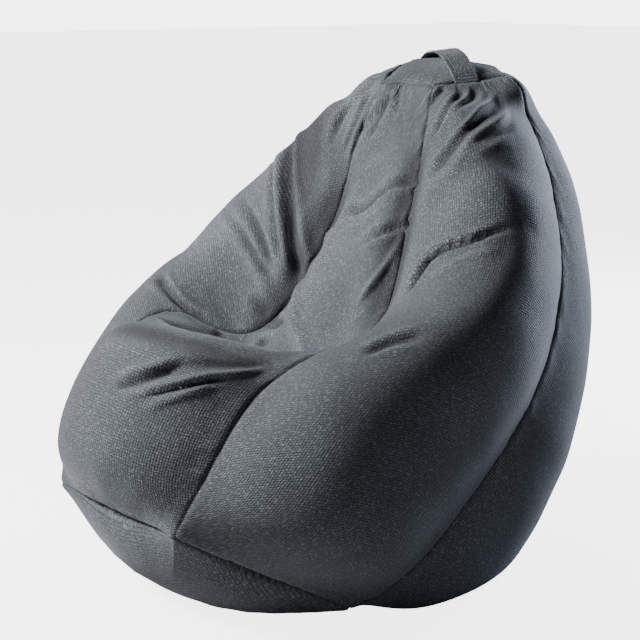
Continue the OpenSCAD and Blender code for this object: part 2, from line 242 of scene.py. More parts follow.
class Grid:
    """Points and normals of the whole surface, with the angle and height of each."""

    def __init__(self, near_deg, step_deg, near_t, step_t, base_s, cap_s):
        self.a, self.per_gore = column_angles(near_deg, step_deg)
        self.t = row_heights(near_t, step_t)
        self.base_s, self.cap_s = np.array(base_s), np.array(cap_s)
        self.nb, self.nt, self.nc = len(base_s), len(self.t), len(cap_s)
        a = self.a[None, :]
        below, above = base(a, self.base_s[:, None]), cap(a, self.cap_s[:, None])
        self.p = placed(np.concatenate([below, side(a, self.t[:, None]), above]))
        # One height that runs on over the three parts: -1..0 base, 0..1 side, 1..2 cap
        self.h = np.concatenate([self.base_s - 1, self.t, 2 - self.cap_s])
        self.n = normals(self.p)

    def poles(self, p):
        """The middles of the base and of the cap."""
        return p[0].mean(0), p[-1].mean(0)


def normals(p):
    """Outward normals of a closed grid of points."""
    around = np.roll(p, -1, 1) - np.roll(p, 1, 1)
    up = np.gradient(p, axis=0)
    n = np.cross(around, up)
    return n / np.maximum(np.linalg.norm(n, axis=-1, keepdims=True), 1e-12)


fine = Grid(
    [0, 0.25, 0.55, 0.9, 1.4, 2.0, 2.8, 3.8, 5.0, 6.2],
    1.0,
    [0, 0.002, 0.004, 0.007, 0.011, 0.016, 0.022, 0.03, 0.039],
    0.0055,
    [0.04, 0.15, 0.3, 0.45, 0.6, 0.72, 0.81, 0.88, 0.93, 0.96, 0.98, 0.992],
    [0.992, 0.98, 0.96, 0.93, 0.88, 0.81, 0.72, 0.62, 0.5, 0.38, 0.26, 0.15, 0.05],
)

# -------------------- folds
# Each fold follows the listed (angle, height) points. Sizes in mm: how deep the valley is
# (a ridge, where negative), how wide it is on the left and right of its direction, and the
# ridges beside it.
FOLDS = [
    # the arm far from the camera
    ([(-68, 0.65), (-57, 0.695), (-50, 0.722), (-39, 0.75)], 9, 6, 11, 4, 3),
    ([(-67, 0.62), (-54, 0.685), (-46, 0.718), (-38, 0.745)], 8, 6, 9, 3, 4),
    ([(-69, 0.72), (-58, 0.737), (-48, 0.75), (-38, 0.757)], 8, 6, 8, 4, 4),
    ([(-68, 0.755), (-58, 0.762), (-50, 0.772), (-41, 0.776), (-35, 0.772)], 20, 13, 13, 9, 7),
    ([(-52, 0.513), (-45, 0.53), (-39, 0.56), (-36, 0.62)], 11, 7, 12, 4, 3),
    # the backrest
    ([(41, 0.80), (31, 0.852), (20, 0.88), (-2, 0.893), (-16, 0.885)], 8, 8, 9, 7, 3),
    ([(40, 0.765), (30, 0.80), (18, 0.83)], 7, 6, 7, 5, 3),
    ([(36, 0.77), (31, 0.75), (25, 0.73)], -7, 5, 6, 0, 0),
    ([(30, 0.835), (14, 0.862), (-2, 0.87), (-16, 0.86), (-28, 0.835)], -7, 6, 8, 0, 0),
    ([(6, 0.845), (-8, 0.835), (-20, 0.80)], -4, 6, 7, 0, 0),
    ([(24, 0.93), (8, 0.935), (-8, 0.925)], -3, 8, 9, 0, 0),
    ([(36, 0.9), (36, 0.8), (36, 0.7), (37, 0.62)], 10, 24, 26, 3, 4),
    ([(-36, 0.92), (-36, 0.82), (-36, 0.74), (-36, 0.66)], 9, 24, 26, 3, 4),
    # under the cap, on the side panel
    ([(91, 0.97), (66, 0.895), (55, 0.83), (47, 0.805), (42, 0.8)], -6, 5, 6, 0, 0),
    ([(90, 0.95), (66, 0.87), (55, 0.81), (49, 0.79), (44, 0.785)], 5, 6, 8, 0, 0),
    ([(93, 0.935), (66, 0.84), (57, 0.795), (52, 0.775)], -6, 7, 7, 0, 0),
    ([(88, 0.90), (68, 0.815), (58, 0.775), (52, 0.76)], 3, 8, 9, 0, 0),
    ([(79, 0.85), (61, 0.785), (51, 0.77), (43, 0.775)], -6, 13, 13, 0, 0),
    ([(46, 0.985), (40, 0.965), (36, 0.955)], 4, 6, 6, 2, 2),
    ([(61, 0.975), (47, 0.89), (41, 0.86)], 6, 7, 7, 3, 2),
    ([(75, 0.985), (63, 0.93), (50, 0.87)], 3, 7, 7, 2, 2),
    # under the cap, on the far side
    ([(-46, 0.985), (-50, 0.95), (-52, 0.90), (-48, 0.86)], 7, 7, 8, 4, 3),
    ([(-58, 0.985), (-60, 0.95), (-58, 0.90)], 6, 7, 8, 4, 3),
    ([(-42, 0.98), (-43, 0.94), (-42, 0.89)], 5, 6, 6, 3, 3),
    # gathers in front of the cap
    ([(-9, 0.995), (1, 0.985), (9, 0.97)], 4, 6, 6, 2, 2),
    ([(-17, 0.992), (-20, 0.968), (-26, 0.945)], 5, 7, 7, 3, 2),
    ([(-23, 0.988), (-30, 0.96), (-38, 0.94)], 5, 7, 7, 3, 2),
    # the near arm
    (
        [(74, 0.668), (63, 0.665), (58, 0.67), (53, 0.68), (49, 0.683), (46, 0.668), (45, 0.65)],
        15, 6, 6, 3, 7,
    ),
    ([(70, 0.632), (62, 0.64), (55, 0.645), (50, 0.655)], -6, 8, 9, 0, 0),
    # the seat
    ([(-38, 0.795), (-17, 0.787), (9, 0.73), (31, 0.54)], -12, 12, 14, 0, 0),
    ([(-43, 0.69), (-37, 0.71)], 5, 12, 12, 2, 2),
    ([(-33, 0.72), (-28, 0.735), (-22, 0.755)], 11, 10, 11, 5, 3),
    ([(-30, 0.70), (-25, 0.705), (-19, 0.72)], 10, 9, 10, 5, 3),
    ([(51, 0.455), (55, 0.485), (62, 0.492)], 10, 9, 9, 4, 3),
    # the front lip
    ([(17, 0.35), (11, 0.305), (4, 0.275)], -9, 6, 7, 0, 0),
    ([(18, 0.33), (12, 0.285), (5, 0.255)], 8, 6, 6, 2, 2),
    ([(31, 0.455), (29, 0.39), (22, 0.322), (15, 0.275), (8, 0.245)], -7, 5, 6, 0, 0),
    ([(28, 0.36), (21, 0.305), (13, 0.26)], 6, 5, 5, 2, 2),
    ([(27, 0.335), (21, 0.285), (14, 0.24)], -5, 5, 5, 0, 0),
    ([(33, 0.45), (20, 0.43), (2, 0.40), (-14, 0.39)], 7, 22, 22, 3, 3),
    ([(32, 0.47), (26, 0.40), (17, 0.335), (10, 0.29)], 6, 11, 11, 0, 0),
]

# Each fold is traced by this many points, and starts and ends over these parts of its length
FOLD_STATIONS = 90
FOLD_START, FOLD_END = 0.22, 0.28

# Broad swellings: angle, height, their reach both ways, and how far they stand out in mm
# (or lie in, where negative)
PUFFS = [
    (-68, 0.955, 50, 0.07, 17),
    (-57, 0.80, 26, 0.065, -12),
    (-78, 0.64, 30, 0.11, 24),
    (118, 0.955, 45, 0.06, 16),
    (66, 0.72, 30, 0.05, 8),
    (60, 0.90, 26, 0.07, 4),
    (0, 0.84, 34, 0.06, 8),
    (150, 0.3, 60, 0.2, 6),
    (-120, 0.35, 60, 0.2, 6),
]


def all_puffs(grid):
    """How far the broad swellings move each point, in metres."""
    total = np.zeros(grid.p.shape[:2])
    for a, t, a_reach, t_reach, height in PUFFS:
        around, up = hump(wrap(grid.a - a) / a_reach), hump((grid.h - t) / t_reach)
        total += height * MM * around[None, :] * up[:, None]
    return total


def route_normals(a, t):
    """Outward normals of the surface along a route of angles and heights."""
    across = placed(side(a + 0.5, t)) - placed(side(a - 0.5, t))
    up = placed(side(a, np.minimum(t + 0.003, 1))) - placed(side(a, np.maximum(t - 0.003, 0)))
    n = np.cross(across, up)
    return n / np.linalg.norm(n, axis=-1, keepdims=True)


def fold_shift(grid, points, depth, left, right, ridge_left, ridge_right):
    """How far a fold moves each point along its normal, in metres."""
    pts = np.array(points, float)
    u = np.linspace(0, 1, FOLD_STATIONS)
    a, t = curve(pts[:, 0], u), curve(pts[:, 1], u)
    line = placed(side(a, t))
    tangent = np.gradient(line, axis=0)
    tangent /= np.linalg.norm(tangent, axis=-1, keepdims=True)
    reach = 4.5 * max(left, right) * MM
    lo, hi = line.min(0) - reach, line.max(0) + reach
    near = ((grid.p > lo) & (grid.p < hi)).all(-1)
    near &= grid.h[:, None] > -0.02
    out = np.zeros(grid.p.shape[:2])
    q, n = grid.p[near], grid.n[near]
    if not len(q):
        return out
    d2 = ((q[:, None] - line[None]) ** 2).sum(-1)
    k = d2.argmin(1)
    off = q - line[k]
    on_left = (off * np.cross(n, tangent[k])).sum(-1) > 0
    # Beside the line only the distance across it counts, past its ends the whole distance
    within = (k > 0) & (k < len(line) - 1)
    along2 = np.where(within, (off * tangent[k]).sum(-1) ** 2, 0)
    d = np.sqrt(np.maximum(d2[np.arange(len(q)), k] - along2, 0))
    x = np.where(on_left, d / (left * MM), d / (right * MM))
    taper = smooth(u[k] / FOLD_START) * smooth((1 - u[k]) / FOLD_END)
    ridge = np.where(on_left, ridge_left, ridge_right) * np.exp(-(((x - 2.0) / 0.9) ** 2))
    facing = (n * route_normals(a, t)[k]).sum(-1) > 0.1
    out[near] = MM * taper * (ridge - depth * np.exp(-(x**2))) * facing
    return out


def all_folds(grid):
    """How far the swellings and folds together move each point, in metres."""
    total = all_puffs(grid)
    for points, *sizes in FOLDS:
        total += fold_shift(grid, points, *sizes)
    return total


def value_noise(x, y, seed):
    """Smooth noise from -1 to 1 on a hashed lattice."""
    ix, iy = np.floor(x).astype(int), np.floor(y).astype(int)
    fx, fy = smooth(x - ix), smooth(y - iy)

    def corner(i, j):
        h = (i * 374761393 + j * 668265263 + seed * 974634777) & 0x7FFFFFFF
        h = ((h ^ (h >> 13)) * 1274126177) & 0x7FFFFFFF
        return (h ^ (h >> 16)) % 10007 / 5003.0 - 1

    low = corner(ix, iy) * (1 - fx) + corner(ix + 1, iy) * fx
    high = corner(ix, iy + 1) * (1 - fx) + corner(ix + 1, iy + 1) * fx
    return low * (1 - fy) + high * fy


def seam_distances(grid, p):
    """Distances to the gore's nearest seam and the nearest ring seam, and up from the base's."""
    step = np.linalg.norm(np.roll(p, -1, 1) - p, axis=-1)
    width = grid.per_gore
    across = np.zeros(step.shape)
    for g in range(5):
        part = step[:, g * width : (g + 1) * width]
        run = np.concatenate([np.zeros((len(part), 1)), np.cumsum(part, 1)], 1)
        across[:, g * width : (g + 1) * width] = np.minimum(run, run[:, -1:] - run)[:, :-1]
    rise = np.linalg.norm(np.diff(p, axis=0), axis=-1)
    run = np.concatenate([np.zeros((1, p.shape[1])), np.cumsum(rise, 0)])
    low, high = run[grid.nb], run[grid.nb + grid.nt - 1]
    along = run - low
    rings = np.minimum(np.abs(run - low), np.abs(run - high))
    return across, rings, along


ZIP_LO, ZIP_HI = (np.array(c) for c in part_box("zip_tape_right"))
ZIP_MARGIN = 0.035


def zip_zone(grid, p):
    """1 beside the zip, where the cover keeps to the zip's arc, and 0 away from it."""
    flat = 1 - smooth((np.abs(p[..., 0]) - 0.03) / 0.045)
    low, high = ZIP_LO[2] - ZIP_MARGIN, ZIP_HI[2] + ZIP_MARGIN
    tall = smooth((p[..., 2] - low) / 0.03) * smooth((high - p[..., 2]) / 0.03)
    return flat * tall * (np.abs(wrap(grid.a - 180)) < 30)[None, :]


# Lengths of the puckers along a seam and along a ring seam, and the rings' mean radius
SEAM_PUCKER, RING_PUCKER, MEAN_RADIUS = 0.017, 0.015, 0.35


def seam_shape(grid, p):
    """How far the valley along every seam and the small puckers across it move each point."""
    across, rings, along = seam_distances(grid, p)
    gore = np.arange(p.shape[1]) // grid.per_gore
    is_side = (grid.h[:, None] >= 0) & (grid.h[:, None] <= 1)
    across = np.where(is_side, across, 1.0)

    def valley(d):
        return -3.0 * np.exp(-((d / 0.0036) ** 2)) + 1.0 * np.exp(-(((d - 0.014) / 0.01) ** 2))

    def beside(d, reach):
        return np.exp(-((d / reach) ** 2)) * (1 - np.exp(-((d / 0.006) ** 2)))

    each_seam = gore[None, :] * 7.3 + np.round(grid.a / HALF_GORE) * 3.1
    along_seam = value_noise(along / SEAM_PUCKER, each_seam, 3)
    around = np.radians(grid.a)[None, :] * MEAN_RADIUS
    along_ring = value_noise(around / RING_PUCKER, np.full(around.shape, 2.5), 5)
    shift = valley(across) + valley(rings)
    shift = shift + 1.8 * along_seam * beside(across, 0.026)
    shift = shift + 2.2 * along_ring * beside(rings, 0.034)
    off_floor = smooth((p[..., 2] - 0.004) / 0.02)
    return MM * shift * (0.15 + 0.85 * off_floor) * (1 - zip_zone(grid, p))


def soft_noise(grid, p):
    """Slow unevenness of the filling under the cloth."""
    s = value_noise(p[..., 0] / 0.12 + 11, p[..., 1] / 0.12 + p[..., 2] / 0.09, 1)
    s2 = value_noise(p[..., 0] / 0.05 + p[..., 1] / 0.06, p[..., 2] / 0.055, 2)
    lift = smooth((p[..., 2] - 0.01) / 0.05)
    return MM * (2.4 * s + 1.0 * s2) * lift * (1 - zip_zone(grid, p))


# -------------------- meshes
def new_object(name, verts, faces, mats=(), smooth_shade=True):
    """An object of the scene from points and faces."""
    mesh = bpy.data.meshes.new(name)
    mesh.from_pydata([tuple(v) for v in verts], [], [tuple(f) for f in faces])
    mesh.validate()
    obj = bpy.data.objects.new(name, mesh)
    bpy.context.scene.collection.objects.link(obj)
    for m in mats:
        mesh.materials.append(m)
    if smooth_shade:
        mesh.polygons.foreach_set("use_smooth", [True] * len(mesh.polygons))
    return obj


def apply_modifiers(obj):
    """Turns an object's modifiers into its own mesh."""
    depsgraph = bpy.context.evaluated_depsgraph_get()
    mesh = bpy.data.meshes.new_from_object(obj.evaluated_get(depsgraph))
    mesh.name = obj.name
    obj.modifiers.clear()
    obj.data = mesh


def float_attribute(obj, name, values):
    """One number for each point, to be read by the material."""
    attribute = obj.data.attributes.new(name, "FLOAT", "POINT")
    attribute.data.foreach_set("value", np.asarray(values, np.float32).ravel())


# -------------------- cloth
def grid_faces(m, n):
    """Quads of m rings of n points, closed around, with a fan at each end."""
    k = np.arange(m * n).reshape(m, n)
    nxt = np.roll(k, -1, 1)
    quads = np.stack([k[:-1], nxt[:-1], nxt[1:], k[1:]], -1).reshape(-1, 4).tolist()
    low, high = m * n, m * n + 1
    fans = [(low, int(b), int(a)) for a, b in zip(k[0], nxt[0])]
    fans += [(high, int(a), int(b)) for a, b in zip(k[-1], nxt[-1])]
    return quads + fans


def group(obj, name, weights):
    """A vertex group with its weights in forty steps."""
    g = obj.vertex_groups.new(name=name)
    levels = np.round(np.clip(weights, 0, 1) * 40) / 40
    for w in np.unique(levels):
        g.add(np.where(levels == w)[0].tolist(), float(w), "REPLACE")


def zone(grid, a, a_half, t, t_half):
    """1 around an angle and height, falling to 0."""
    x = np.minimum(1, np.abs(wrap(grid.a - a)) / a_half)[None, :]
    y = np.minimum(1, np.abs(grid.h - t) / t_half)[:, None]
    return (1 - x**2) * (1 - y**2)


# No point of the cloth moves further than this
CLOTH_REACH = 0.016


def run_cloth(grid, start, frames):
    """How Blender's cloth moves the cover, which is a little too large in places."""
    m, n = start.shape[:2]
    verts = np.concatenate([start.reshape(-1, 3), np.array(grid.poles(start))])
    obj = new_object("cloth_run", verts, grid_faces(m, n))
    across, rings, _ = seam_distances(grid, grid.p)
    low = smooth((0.06 - start[..., 2]) / 0.05)
    ends = ((grid.h < 0) | (grid.h > 1))[:, None] + 0 * start[..., 0]
    seams = 0.25 * np.exp(-((across / 0.012) ** 2))
    pin = np.clip(0.02 + np.maximum.reduce([low, ends, zip_zone(grid, grid.p), seams]), 0, 1)
    # Too large in the seat, on the lip and on both sides below the cap
    slack = zone(grid, 0, 88, 0.72, 0.2) + 0.8 * zone(grid, 0, 60, 0.33, 0.17)
    slack += 0.7 * zone(grid, 40, 70, 0.88, 0.13) + 0.7 * zone(grid, -40, 60, 0.88, 0.13)
    group(obj, "pin", np.append(pin.ravel(), [1, 1]))
    group(obj, "slack", np.append(slack.ravel(), [0, 0]))
    cloth = obj.modifiers.new("cloth", "CLOTH")
    c = cloth.settings
    c.quality = 6
    c.mass = 0.25
    c.air_damping = 3
    c.tension_stiffness = c.compression_stiffness = 20
    c.shear_stiffness = 12
    c.bending_stiffness = 0.6
    c.vertex_group_mass = "pin"
    c.pin_stiffness = 2.0
    c.vertex_group_shrink = "slack"
    c.shrink_min = 0.0
    c.shrink_max = -0.05
    c.use_pressure = True
    c.uniform_pressure_force = 0.7
    c.effector_weights.gravity = 0
    cloth.collision_settings.use_collision = False
    scene = bpy.context.scene
    scene.frame_start, scene.frame_end = 1, frames
    cloth.point_cache.frame_start, cloth.point_cache.frame_end = 1, frames
    for f in range(1, frames + 1):
        scene.frame_set(f)
    apply_modifiers(obj)
    co = np.zeros(len(obj.data.vertices) * 3, np.float32)
    obj.data.vertices.foreach_get("co", co)
    bpy.data.objects.remove(obj)
    scene.frame_set(1)
    moved = co.reshape(-1, 3)[: m * n].reshape(start.shape) - start
    size = np.linalg.norm(moved, axis=-1, keepdims=True)
    return moved * (1 - pin)[..., None] / np.sqrt(1 + (size / CLOTH_REACH) ** 2)


def cubic(x):
    """Weights of the four values around each place x, for a smooth curve through them."""
    f = x - np.floor(x)
    outer_low, outer_high = -f + 2 * f**2 - f**3, f**3 - f**2
    inner_low, inner_high = 2 - 5 * f**2 + 3 * f**3, f + 4 * f**2 - 3 * f**3
    return np.stack([outer_low, inner_low, inner_high, outer_high]) / 2


def resample(coarse, values, target):
    """values on the coarse grid, read on the target grid."""
    turn = np.concatenate([coarse.a, [coarse.a[0] + 360]])
    x = np.interp(target.a, turn, np.arange(len(turn)))
    y = np.interp(target.h, coarse.h, np.arange(len(coarse.h)))
    wx, wy = cubic(x), cubic(y)
    ix, iy = np.floor(x).astype(int), np.floor(y).astype(int)
    high = len(coarse.h) - 1
    rows = sum(wy[k][:, None, None] * values[np.clip(iy + k - 1, 0, high)] for k in range(4))
    return sum(wx[k][None, :, None] * rows[:, (ix + k - 1) % len(coarse.a)] for k in range(4))


shift = all_folds(fine)
cover = fine.p + fine.n * (shift + soft_noise(fine, fine.p))[..., None]
cloth_shift = np.zeros(cover.shape)
coarse = Grid(
    [0, 1.8], 2.1, [0, 0.008], 0.0105, [0.1, 0.35, 0.6, 0.8, 0.92], [0.92, 0.75, 0.5, 0.25]
)
start = coarse.p + coarse.n * (all_folds(coarse) + soft_noise(coarse, coarse.p))[..., None]
cloth_shift = resample(coarse, run_cloth(coarse, start, 22), fine)
cover += cloth_shift
cover = cover + normals(cover) * seam_shape(fine, cover)[..., None]
cover[..., 2] = np.maximum(cover[..., 2], 0)
# The folds' and seams' relief in mm, which the cover's material turns into a painted highlight on
# ridges and painted shade in folds
relief_painted_shade = (shift + seam_shape(fine, fine.p)) / MM

# How the cover opens for the zip: half the slot's width, how far the cloth beside it gives
# way, how far the slot runs on past the tape and how long its ends are
SLOT_HALF = ZIP_HI[0] + 0.3 * MM
SLOT_GIVE, SLOT_PAST, SLOT_END = 0.05, 0.003, 0.005


def open_at_zip(sub, seam_first):
    """Draws the edge of a rear panel back from the seam, beside the zip."""
    if not seam_first:
        sub = sub[:, ::-1]
    out = sub.copy()
    for i, row in enumerate(sub):
        above, below = row[0, 2] - ZIP_LO[2], ZIP_HI[2] - row[0, 2]
        ends = smooth((above + SLOT_PAST) / SLOT_END) * smooth((below + SLOT_PAST) / SLOT_END)
        gap = SLOT_HALF * ends
        run = np.append(0, np.cumsum(np.linalg.norm(np.diff(row, axis=0), axis=1)))
        near = run < SLOT_GIVE
        want = gap + run[near] * (SLOT_GIVE - gap) / SLOT_GIVE
        for k in range(3):
            out[i, near, k] = np.interp(want, run, row[:, k])
    return out if seam_first else out[:, ::-1]


def patch(name, rows, cols):
    """A side panel of the cover: rows and columns of the grid, as quads."""
    at = np.ix_(rows, cols % cover.shape[1])
    sub = cover[at]
    if name in ("cover_rear_right_panel", "cover_rear_left_panel"):
        sub = open_at_zip(sub, name == "cover_rear_left_panel")
    m, n = sub.shape[:2]
    k = np.arange(m * n).reshape(m, n)
    faces = np.stack([k[:-1, :-1], k[:-1, 1:], k[1:, 1:], k[1:, :-1]], -1).reshape(-1, 4)
    obj = new_object(name, sub.reshape(-1, 3), faces.tolist(), [COVER])
    float_attribute(obj, "relief_painted_shade", relief_painted_shade[at])
    vertex_uv(obj, gore_uv(fine.p[at]))
    return obj


def pole_patch(name, rows, pole, top):
    """A pentagon of the cover: rings around a pole. rows run from the pole outwards."""
    ring = cover[rows]
    m, n = ring.shape[:2]
    verts = np.concatenate([[pole], ring.reshape(-1, 3)])
    j = np.arange(n)
    faces = [(0, 1 + a, 1 + (a + 1) % n) for a in j]
    for i in range(m - 1):
        lo, hi = 1 + i * n, 1 + (i + 1) * n
        faces += [(lo + a, hi + a, hi + (a + 1) % n, lo + (a + 1) % n) for a in j]
    if not top:
        faces = [f[::-1] for f in faces]
    obj = new_object(name, verts, faces, [COVER])
    float_attribute(obj, "relief_painted_shade", np.concatenate([[0], relief_painted_shade[rows].ravel()]))
    lean = 0.0 if top else -math.radians(RING_TILT[0])
    along = (0, math.cos(lean), math.sin(lean))
    outward = CAP_N if top else (0, math.sin(lean), -math.cos(lean))
    flat = np.concatenate([[pole], fine.p[rows].reshape(-1, 3)])
    vertex_uv(obj, flat_uv(flat, along, outward))
    return obj


def vertex_uv(obj, uv):
    """One UV for each vertex, in metres of cloth."""
    mesh = obj.data
    layer = mesh.uv_layers.new(name="cloth")
    loop_vert = np.zeros(len(mesh.loops), np.int32)
    mesh.loops.foreach_get("vertex_index", loop_vert)
    layer.data.foreach_set("uv", np.asarray(uv)[loop_vert].astype(np.float32).ravel())


def gore_uv(sub):
    """Lengths across from the gore's middle, and up from its middle row."""
    across = np.linalg.norm(np.diff(sub, axis=1), axis=-1)
    u = np.concatenate([np.zeros((len(sub), 1)), np.cumsum(across, 1)], 1)
    u -= u[:, [u.shape[1] // 2]]
    up = np.linalg.norm(np.diff(sub, axis=0), axis=-1)
    v = np.concatenate([np.zeros((1, sub.shape[1])), np.cumsum(up, 0)])
    v -= v[[len(v) // 2]]
    return np.stack([u, v], -1).reshape(-1, 2)


def flat_uv(verts, along, normal):
    """The lengths along two directions that lie across the piece."""
    along = np.asarray(along, float)
    across = np.cross(along, normal)
    return verts @ np.stack([across, along], 1)


# -------------------- materials
class Tree:
    """Short calls that add nodes to a material's tree, link them and return their output."""

    def __init__(self, name):
        self.mat = bpy.data.materials.new(name)
        self.mat.use_nodes = True
        self.nodes = self.mat.node_tree.nodes
        self.links = self.mat.node_tree.links
        self.shader = self.nodes["Principled BSDF"]

    def put(self, socket, value):
        if isinstance(value, bpy.types.NodeSocket):
            self.links.new(value, socket)
        else:
            socket.default_value = value

    def math(self, op, a, b=None):
        n = self.nodes.new("ShaderNodeMath")
        n.operation = op
        for socket, v in zip(n.inputs, (a, b)):
            if v is not None:
                self.put(socket, v)
        return n.outputs[0]

    def noise(self, vector, scale, detail=2.0, roughness=0.5):
        n = self.nodes.new("ShaderNodeTexNoise")
        self.put(n.inputs["Vector"], vector)
        n.inputs["Scale"].default_value = scale
        n.inputs["Detail"].default_value = detail
        n.inputs["Roughness"].default_value = roughness
        return n.outputs["Fac"]

    def spread(self, value, lo, hi, out_lo=0.0, out_hi=1.0):
        n = self.nodes.new("ShaderNodeMapRange")
        n.interpolation_type = "SMOOTHSTEP"
        for socket, v in zip(n.inputs, (value, lo, hi, out_lo, out_hi)):
            self.put(socket, v)
        return n.outputs[0]

    def mix(self, factor, a, b, blend="MIX"):
        n = self.nodes.new("ShaderNodeMix")
        n.data_type = "RGBA"
        n.blend_type = blend
        self.put(n.inputs["Factor"], factor)
        self.put(n.inputs[6], a)
        self.put(n.inputs[7], b)
        return n.outputs[2]

    def combine(self, x, y, z=0.0):
        n = self.nodes.new("ShaderNodeCombineXYZ")
        for socket, v in zip(n.inputs, (x, y, z)):
            self.put(socket, v)
        return n.outputs[0]

    def split(self, vector):
        n = self.nodes.new("ShaderNodeSeparateXYZ")
        self.put(n.inputs[0], vector)
        return n.outputs

    def uv(self):
        n = self.nodes.new("ShaderNodeUVMap")
        n.uv_map = "cloth"
        return n.outputs[0]

    def attribute(self, name):
        n = self.nodes.new("ShaderNodeAttribute")
        n.attribute_name = name
        return n.outputs["Fac"]

    def object_coords(self):
        return self.nodes.new("ShaderNodeTexCoord").outputs["Object"]

    def bump(self, height, strength, distance):
        n = self.nodes.new("ShaderNodeBump")
        n.inputs["Strength"].default_value = strength
        n.inputs["Distance"].default_value = distance
        self.put(n.inputs["Height"], height)
        return n.outputs[0]

    def finish(self, **inputs):
        for name, value in inputs.items():
            self.put(self.shader.inputs[name.replace("_", " ")], value)
        return self.mat


def rgb(r, g, b):
    return (r, g, b, 1.0)


def cloth_material(name, dark, mid, light, pitch, sheen):
    """Coarse heathered weave. Coordinates in metres from the cloth's own UVs."""
    t = Tree(name)
    u, v, _ = t.split(t.uv())
    obj = t.object_coords()
    wobble = t.math("MULTIPLY", t.math("SUBTRACT", t.noise(obj, 60), 0.5), 0.9)
    uu = t.math("ADD", t.math("DIVIDE", u, pitch), wobble)
    vv = t.math("SUBTRACT", t.math("DIVIDE", v, pitch), wobble)
    su = t.math("SINE", t.math("MULTIPLY", uu, math.pi))
    sv = t.math("SINE", t.math("MULTIPLY", vv, math.pi))
    product = t.math("MULTIPLY", su, sv)
    pillow = t.math("POWER", t.math("ABSOLUTE", product), 0.6)
    warp_up = t.spread(product, -0.1, 0.1)
    creases = t.math("MULTIPLY", t.noise(obj, 15.0, 3.0), 3.5)
    height = t.math("ADD", t.math("ADD", pillow, t.math("MULTIPLY", warp_up, 0.25)), creases)
    # Light fibres run along each yarn
    weft_up = t.math("SUBTRACT", 1.0, warp_up)
    flecks = []
    for across, along, place, up in ((1.6, 0.8, 3.0, warp_up), (0.8, 1.6, 9.0, weft_up)):
        where = t.combine(t.math("MULTIPLY", uu, across), t.math("MULTIPLY", vv, along), place)
        flecks.append(t.math("MULTIPLY", t.spread(t.noise(where, 1.0, 1.0), 0.5, 0.72), up))
    fleck = t.math("ADD", *flecks)
    fibre = t.noise(t.combine(uu, vv), 5.0, 3.0, 0.6)
    body = t.mix(t.math("MULTIPLY", pillow, t.spread(fibre, 0.3, 0.7, 0.6, 1.0)), dark, mid)
    colour = t.mix(t.math("MULTIPLY", fleck, 0.32), body, light)
    # Slow change of tone, and painted light and shade from the relief: paler on the ridges, darker
    # in the folds and seam valleys
    tone = t.spread(t.noise(obj, 5.0, 3.0), 0.35, 0.7, 0.86, 1.12)
    relief_painted_shade = t.spread(t.attribute("relief_painted_shade"), -7.0, 6.0, 0.6, 1.5)
    shade = t.math("MULTIPLY", tone, relief_painted_shade)
    colour = t.mix(1.0, colour, t.combine(shade, shade, shade), "MULTIPLY")
    return t.finish(
        Base_Color=colour,
        Roughness=t.spread(fibre, 0.2, 0.8, 0.72, 0.92),
        Normal=t.bump(height, 0.55, 0.0011),
        Sheen_Weight=sheen,
        Sheen_Roughness=0.38,
        Sheen_Tint=rgb(0.72, 0.78, 0.88),
        Specular_IOR_Level=0.2,
    )


DARK, MID, LIGHT = rgb(0.011, 0.013, 0.016), rgb(0.078, 0.086, 0.100), rgb(0.27, 0.29, 0.32)
COVER = cloth_material("cover_weave", DARK, MID, LIGHT, pitch=0.0048, sheen=0.2)

# -------------------- the cover's panels
per = fine.per_gore
side_rows = np.arange(fine.nb, fine.nb + fine.nt)
PANELS = ["front", "right_side", "rear_right", "rear_left", "left_side"]
pieces = []
for g, which in enumerate(PANELS):
    node = which + "_panel"
    cols = np.arange(g * per, (g + 1) * per + 1)
    pieces.append((patch("cover_" + node, side_rows, cols), node))
cap_rows = np.arange(fine.nb + fine.nt - 1, fine.nb + fine.nt + fine.nc)
base_rows = np.arange(0, fine.nb + 1)
base_pole, cap_pole = fine.poles(cover)
pieces.append((pole_patch("cover_top_cap", cap_rows[::-1], cap_pole, True), "top_cap"))
pieces.append((pole_patch("cover_base_panel", base_rows, base_pole, False), "base_panel"))
for obj, node in pieces:
    thick = obj.modifiers.new("thickness", "SOLIDIFY")
    thick.thickness = COVER_T
    thick.offset = -1
    thick.use_quality_normals = True
    apply_modifiers(obj)
    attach(obj, "bag")
    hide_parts(node)


# -------------------- liner and filling
def thin_cloth(name, warp, weft, pitch, rough):
    """A fine plain weave laid by the object's own coordinates."""
    t = Tree(name)
    x, y, z = t.split(t.object_coords())
    a = t.math("SINE", t.math("DIVIDE", t.math("ADD", x, y), pitch / (2 * math.pi)))
    b = t.math("SINE", t.math("DIVIDE", z, pitch / (2 * math.pi)))
    weave = t.spread(t.math("MULTIPLY", a, b), -0.6, 0.6)
    slub = t.noise(t.object_coords(), 260, 2)
    return t.finish(
        Base_Color=t.mix(t.math("MULTIPLY", weave, slub), warp, weft),
        Roughness=rough,
        Normal=t.bump(weave, 0.4, 0.0002),
        Sheen_Weight=0.1,
    )


LINER = thin_cloth("liner_weave", rgb(0.62, 0.62, 0.60), rgb(0.82, 0.82, 0.80), 0.0011, 0.85)


def bead_material():
    """Pale foam beads pressed together."""
    t = Tree("beads")
    n = t.nodes.new("ShaderNodeTexVoronoi")
    n.inputs["Scale"].default_value = 240
    t.put(n.inputs["Vector"], t.object_coords())
    # Each bead is painted grey towards its edge: painted shade where the beads meet
    ball = t.spread(n.outputs["Distance"], 0.0, 0.65, 1.0, 0.0)
    return t.finish(
        Base_Color=t.mix(ball, rgb(0.60, 0.60, 0.60), rgb(0.93, 0.93, 0.92)),
        Roughness=0.6,
        Normal=t.bump(ball, 0.9, 0.0018),
        Subsurface_Weight=0.1,
    )


